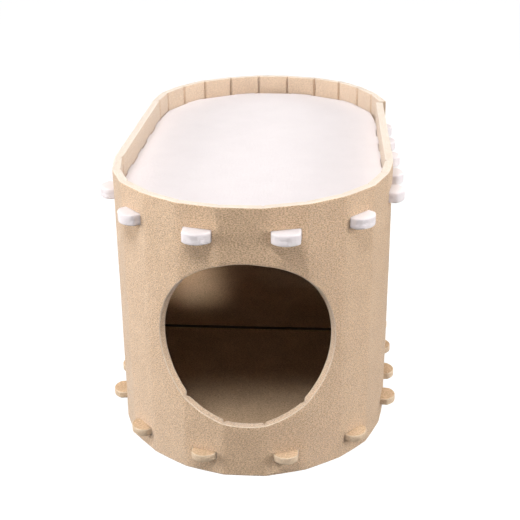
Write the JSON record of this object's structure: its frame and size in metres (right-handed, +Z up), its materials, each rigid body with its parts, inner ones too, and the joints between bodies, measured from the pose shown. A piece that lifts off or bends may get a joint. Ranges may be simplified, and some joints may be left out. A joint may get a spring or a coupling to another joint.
{
  "type": "felt cat house",
  "caption": "Free-standing cat house of thick felt: a folded wall with an oval doorway, a tabbed floor and a tabbed lying deck below its rim.",
  "frame": {"origin": "on the ground under the middle of the bounding box", "axes": "+Z up, doorway towards -Y, +Y along the house to its back, +X to the right as seen from the doorway side"},
  "size_m": [0.3764, 0.6724, 0.339],
  "materials": {
    "wall_felt": "tan speckled needle felt, matte",
    "deck_felt": "near-white needle felt, matte",
    "floor_felt": "light tan needle felt, matte"
  },
  "bodies": {
    "root": {"wall": "wall_felt", "deck": "deck_felt", "floor_front": "floor_felt", "floor_back": "floor_felt"}
  },
  "joints": []
}
